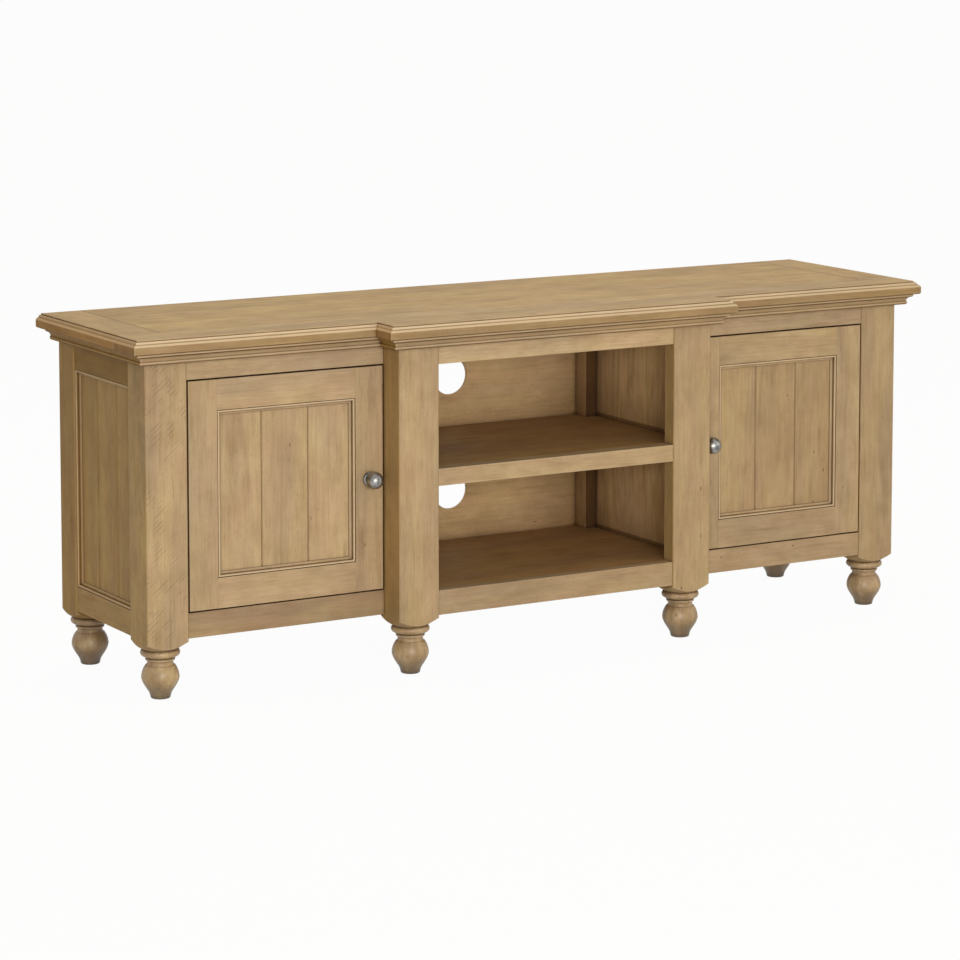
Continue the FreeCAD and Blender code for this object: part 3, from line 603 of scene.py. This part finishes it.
def metal(name, colours, stretch, roughness):
    """Metal with an uneven polish, fine scratches and painted shade in its corners."""
    s = Shader(name)
    scratches = s.noise(s.scaled(s.place, stretch), 1.0, detail=3, roughness=0.6)
    cloud = s.noise(s.place, POLISH_SCALE, detail=3)
    polish = s.mix(s.spread(cloud, *POLISH_LIMITS), *colours)
    corner_shade = s.spread(s.openness(METAL_SHADE_REACH), *METAL_SHADE_LIMITS)
    s.put(s.surface.inputs["Base Color"], s.mix(corner_shade, polish, METAL_CORNER_PAINTED_SHADE, "MULTIPLY"))
    rough = s.spread(scratches, *MIDDLE_LIMITS, roughness, roughness + METAL_ROUGHNESS_RANGE)
    s.put(s.surface.inputs["Roughness"], rough)
    s.surface.inputs["Metallic"].default_value = 1.0
    s.bump(scratches, *METAL_RELIEF)
    return s.material


def field_joints():
    """Joints between the top's field boards, from front to back."""
    low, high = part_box("top_field_boards")
    depth = (high.y - low.y) / FIELD_BOARD_COUNT
    return [low.y + depth * i for i in range(1, FIELD_BOARD_COUNT)]


def door_joints(door):
    """Joints between a door's boards, from left to right."""
    low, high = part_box(door + "_boards")
    middle = (low.x + high.x) / 2
    return [middle - DOOR_BOARD_HALF, middle + DOOR_BOARD_HALF]


def make_materials():
    """Material of every finish."""
    foot = dict(glaze_and_shade=1.3, gloss=0.6, wear_and_highlight=0.6, toe=True)
    inside = dict(glaze_and_shade=1.3, recess_shade=0.95)
    moulding = dict(wear_and_highlight=0.2, lines=MOULDING_LINES, bead_highlights=MOULDING_BEAD_HIGHLIGHTS)
    side_ring = (Y, *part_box("side_moulding_right"))
    door_ring = (X, *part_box("right_door_moulding"))
    return {
        "post": wood("post_wood_upright", FRONT_TONE, Z, saw=0.12, wear_and_highlight=0.6,
                     flanks=[CENTRE_POST_FLANK_PAINTED_SHADE]),
        "sawn_post": wood("post_wood_sawn", FRONT_TONE, Z, saw=0.60, wear_and_highlight=0.6,
                          flanks=[POST_FLANK_PAINTED_SHADE]),
        "side_post": wood("side_wood_upright", SIDE_POST_SHADED_TONE, Z, saw=0.12, wear_and_highlight=0.6),
        "bay_post": wood("inner_wood_post", INNER_LIT_TONE, Z, flanks=[WHITE, BAY_CORNER_PAINTED_SHADOW], **inside),
        "feet": wood("post_wood_turned", FEET_TONE, Z, recess_shade=0.25, **foot),
        "rear_feet": wood("post_wood_rear", REAR_FEET_TONE, Z, recess_shade=0.45, **foot),
        "top": wood("top_wood_boards", TOP_TONE, X, Y, field_joints(), gloss=0.1, seams=True),
        "border": wood("top_wood_border", BORDER_TONE, X, gloss=0.1, glaze_and_shade=1.1, wear_and_highlight=0.3,
                       lines=BORDER_LINES, bead_highlights=BORDER_BEAD_HIGHLIGHTS, flanks=[TOP_FLANK_PAINTED_SHADE]),
        "end": wood("top_wood_end", TOP_TONE, Y, gloss=0.1, glaze_and_shade=1.1, wear_and_highlight=0.3, seams=True,
                    lines=TOP_LINES, bead_highlights=END_BEAD_HIGHLIGHTS, flanks=[TOP_FLANK_PAINTED_SHADE]),
        "cornice": wood("top_wood_cornice", CORNICE_SHADED_TONE, X, glaze_and_shade=1.2, wear_and_highlight=0.1,
                        lines=CORNICE_LINES, bead_highlights=CORNICE_BEAD_HIGHLIGHTS, flanks=[CORNICE_FLANK_PAINTED_SHADE]),
        "rail": wood("frame_wood_level", FRONT_TONE, X),
        "frieze": wood("frame_wood_frieze", FRIEZE_SHADED_TONE, X),
        "bay_frieze": wood("frame_wood_bay", BAY_FRIEZE_LIT_TONE, X),
        "low_rail": wood("frame_wood_low", LOW_RAIL_SHADED_TONE, X),
        "side_rail": wood("side_wood_level", SIDE_SHADED_TONE, Y),
        "side_top": wood("side_wood_top", SIDE_TOP_SHADOWED_TONE, Y),
        "side_board": wood("side_wood_boards", SIDE_SHADED_TONE, Z, Y, SIDE_BOARD_JOINTS, glaze_and_shade=1.0),
        "side_moulding": wood("side_wood_bead", SIDE_SHADED_TONE, Z, glaze_and_shade=1.0, ring=side_ring, **moulding),
        "stile": wood("door_wood_upright", FRONT_TONE, Z, saw=0.06),
        "door_rail": wood("door_wood_level", FRONT_TONE, X),
        "left_panel": wood("door_wood_left", FRONT_TONE, Z, X, door_joints("left_door"), glaze_and_shade=1.0),
        "right_panel": wood("door_wood_right", RIGHT_PANEL_SHADED_TONE, Z, X, door_joints("right_door"),
                            glaze_and_shade=1.0),
        "door_moulding": wood("door_wood_bead", FRONT_TONE, Z, glaze_and_shade=1.2, ring=door_ring, **moulding),
        "inner": wood("inner_wood_upright", INNER_LIT_TONE, Z, figure=0.5, lines=PARTITION_FOOT_SHADOWS, **inside),
        "inner_level": wood("inner_wood_level", INNER_LIT_TONE, X, **inside),
        "shelf": wood("shelf_wood_level", SHELF_SHADED_TONE, X, recess_shade=0.35),
        "lip": wood("shelf_wood_lip", FRONT_TONE, X, wear_and_highlight=0.5),
        "steel": metal("hinge_steel_plated", **STEEL),
        "pewter": metal("knob_metal_worn", **PEWTER),
    }


def set_material(thing, material):
    thing.data.materials.clear()
    thing.data.materials.append(material)


def soften(node):
    """Joins a CAD node's faces again and rounds its arrises a little, with modifiers only."""
    mesh = node.data
    if "custom_normal" in mesh.attributes:
        mesh.attributes.remove(mesh.attributes["custom_normal"])
    mesh.shade_smooth()
    weld = node.modifiers.new("weld", "WELD")
    weld.merge_threshold = WELD_DISTANCE
    flat = node.modifiers.new("flat", "DECIMATE")
    flat.decimate_type = "DISSOLVE"
    flat.angle_limit = FLAT_ANGLE
    bevel = node.modifiers.new("arris", "BEVEL")
    bevel.width = ARRIS_WIDTH
    bevel.segments = ARRIS_SEGMENTS
    bevel.limit_method = "ANGLE"
    bevel.angle_limit = ARRIS_ANGLE
    bevel.harden_normals = True
    bevel.use_clamp_overlap = True


def dress(nodes, materials):
    """Gives every CAD node its material and softens most of the wooden ones."""
    for name, node in nodes.items():
        finish = next(finish for pattern, finish in FINISHES if fnmatchcase(name, pattern))
        set_material(node, materials[finish])
        if not any(word in name for word in UNSOFTENED):
            soften(node)


def smooth_run(points, steps):
    """Points along a smooth curve through the given ones."""
    ends = [points[0], *points, points[-1]]
    run = []
    for i in range(1, len(ends) - 2):
        for k in range(steps):
            t = k / steps
            run.append(tuple(0.5 * (2 * b + (c - a) * t + (2 * a - 5 * b + 4 * c - d) * t * t
                                    + (3 * b - a - 3 * c + d) * t ** 3)
                             for a, b, c, d in zip(*ends[i - 1:i + 3])))
    return run + [tuple(points[-1])]


def lathe(bm, profile, centre, out, sides=TURNED_SIDES):
    """Turned solid round the line from centre along out; the profile is in millimetres."""
    across = out.orthogonal().normalized()
    up = out.cross(across)
    rings = []
    for radius, height in profile:
        ring = []
        for i in range(sides):
            angle = 2 * math.pi * i / sides
            arm = across * math.cos(angle) + up * math.sin(angle)
            ring.append(bm.verts.new(centre + out * height / 1000 + arm * radius / 1000))
        rings.append(ring)
    for low, high in zip(rings, rings[1:]):
        for i in range(sides):
            bm.faces.new((low[i - 1], low[i], high[i], high[i - 1]))
    bm.faces.new(rings[0][::-1])
    bm.faces.new(rings[-1])


def screw(bm, centre, out):
    lathe(bm, SCREW_PROFILE, centre, out, SCREW_SIDES)


def finished(name, bm, material, body, replaced=(), sharp=TURNED_SHARP_ANGLE):
    """Object from a bmesh that rides on a body and takes its finish from a slot."""
    bmesh.ops.recalc_face_normals(bm, faces=bm.faces)
    mesh = bpy.data.meshes.new(name)
    bm.to_mesh(mesh)
    bm.free()
    mesh.shade_smooth()
    mesh.set_sharp_from_angle(angle=sharp)
    thing = bpy.data.objects.new(name, mesh)
    bpy.context.scene.collection.objects.link(thing)
    set_material(thing, material)
    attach(thing, body)
    if replaced:
        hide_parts(*replaced)


def make_feet(materials):
    profile = [p for part in (FOOT_BULB, FOOT_NECK, FOOT_BEAD, FOOT_RING)
               for p in smooth_run(part, FOOT_CURVE_STEPS)]
    ring_radius = max(radius for radius, height in profile) / 1000
    for name, finish in FEET:
        low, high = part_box(name)
        y = (low.y + high.y) / 2
        reach = high.x - ring_radius
        bm = bmesh.new()
        for x in (-reach, reach):
            lathe(bm, profile, Vector((x, y, low.z)), Vector((0, 0, 1)))
        finished("turned_" + name, bm, materials[finish], "carcass", [name])


def make_knobs(material):
    profile = smooth_run(KNOB_PROFILE, KNOB_CURVE_STEPS)
    for door in DOORS:
        low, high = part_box(door + "_knob")
        centre = (low + high) / 2
        bm = bmesh.new()
        lathe(bm, profile, Vector((centre.x, high.y, centre.z)), Vector((0, -1, 0)))
        finished(door + "_turned_knob", bm, material, door, [door + "_knob"],
                 KNOB_SHARP_ANGLE)


def make_door_screws(material):
    """Screw heads on a door's back: two on each hinge cup's flange and one behind the knob."""
    backward = Vector((0, 1, 0))
    near = CUP_SCREW_INSET
    far = CUP_FLANGE_LENGTH - CUP_SCREW_INSET
    for door in DOORS:
        low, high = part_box(door + "_hinge_cups")
        middle = (low + high) / 2
        bm = bmesh.new()
        for z in (low.z + near, low.z + far, high.z - far, high.z - near):
            screw(bm, Vector((middle.x, high.y, z)), backward)
        knob_low, knob_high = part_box(door + "_knob")
        knob = (knob_low + knob_high) / 2
        door_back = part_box(door + "_lock_stile")[1].y
        screw(bm, Vector((knob.x, door_back, knob.z)), backward)
        finished(door + "_screws", bm, material, door)


def make_plate_screws(material):
    """Two screw heads on each hinge plate, which sits on the face of its post."""
    low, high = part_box("hinge_plates")
    face_x = high.x - PLATE_THICKNESS
    bm = bmesh.new()
    for side in (-1, 1):
        for z in (low.z + PLATE_WIDTH / 2, high.z - PLATE_WIDTH / 2):
            for y in (low.y + PLATE_FRONT_INSET, high.y - PLATE_REAR_INSET):
                screw(bm, Vector((side * face_x, y, z)), Vector((-side, 0, 0)))
    finished("hinge_plate_screws", bm, material, "carcass")


def make_lamps():
    for name, place, target, size, power, colour in LAMPS:
        data = bpy.data.lights.new(name, "AREA")
        data.shape = "RECTANGLE"
        data.size, data.size_y = size
        data.energy = power
        data.color = colour
        lamp = bpy.data.objects.new(name, data)
        lamp.location = place
        lamp.rotation_euler = (Vector(target) - Vector(place)).to_track_quat("-Z", "Y").to_euler()
        lamp.visible_camera = False
        bpy.context.scene.collection.objects.link(lamp)


def make_world():
    """White where it is seen, warm and dim where it lights the object."""
    world = bpy.data.worlds.new("studio")
    bpy.context.scene.world = world
    s = Nodes(world)
    seen = s.seen_share()
    background = s.tree.nodes["Background"]
    s.put(background.inputs["Strength"], s.spread(seen, 0.0, 1.0, WORLD_LEVEL, 1.0))
    s.put(background.inputs["Color"], s.mix(seen, WORLD_TINT, WHITE))


def make_floor():
    """Pale floor that is nearly white where it is seen and keeps the object's shadow."""
    reach = FLOOR_REACH
    corners = [(-reach, -reach, 0), (reach, -reach, 0), (reach, reach, 0), (-reach, reach, 0)]
    mesh = bpy.data.meshes.new("floor")
    mesh.from_pydata(corners, [], [(0, 1, 2, 3)])
    floor = bpy.data.objects.new("floor", mesh)
    bpy.context.scene.collection.objects.link(floor)
    s = Shader("floor")
    s.surface.inputs["Base Color"].default_value = FLOOR_COLOUR
    s.surface.inputs["Roughness"].default_value = FLOOR_ROUGHNESS
    blend = s.node("ShaderNodeMixShader")
    s.put(blend.inputs[0], s.math("MULTIPLY", s.seen_share(), FLOOR_WHITE_SHARE))
    s.put(blend.inputs[1], s.surface.outputs[0])
    s.put(blend.inputs[2], s.node("ShaderNodeEmission").outputs[0])
    s.put(s.tree.nodes["Material Output"].inputs["Surface"], blend.outputs[0])
    set_material(floor, s.material)


def make_camera():
    data = bpy.data.cameras.new("camera")
    data.sensor_width = SENSOR_WIDTH
    data.lens = FOCAL_PIXELS / IMAGE_SIZE * SENSOR_WIDTH
    data.shift_y = (CENTRE_ROW - IMAGE_SIZE / 2) / IMAGE_SIZE
    camera = bpy.data.objects.new("camera", data)
    camera.location = CAMERA_PLACE
    camera.rotation_euler = (math.pi / 2 - CAMERA_PITCH, 0, -CAMERA_YAW)
    bpy.context.scene.collection.objects.link(camera)
    bpy.context.scene.camera = camera


make_camera()
make_world()
make_floor()
make_lamps()
materials = make_materials()
dress(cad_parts, materials)
make_feet(materials)
make_knobs(materials["pewter"])
make_door_screws(materials["steel"])
make_plate_screws(materials["steel"])
bpy.context.scene.view_settings.view_transform = "Standard"
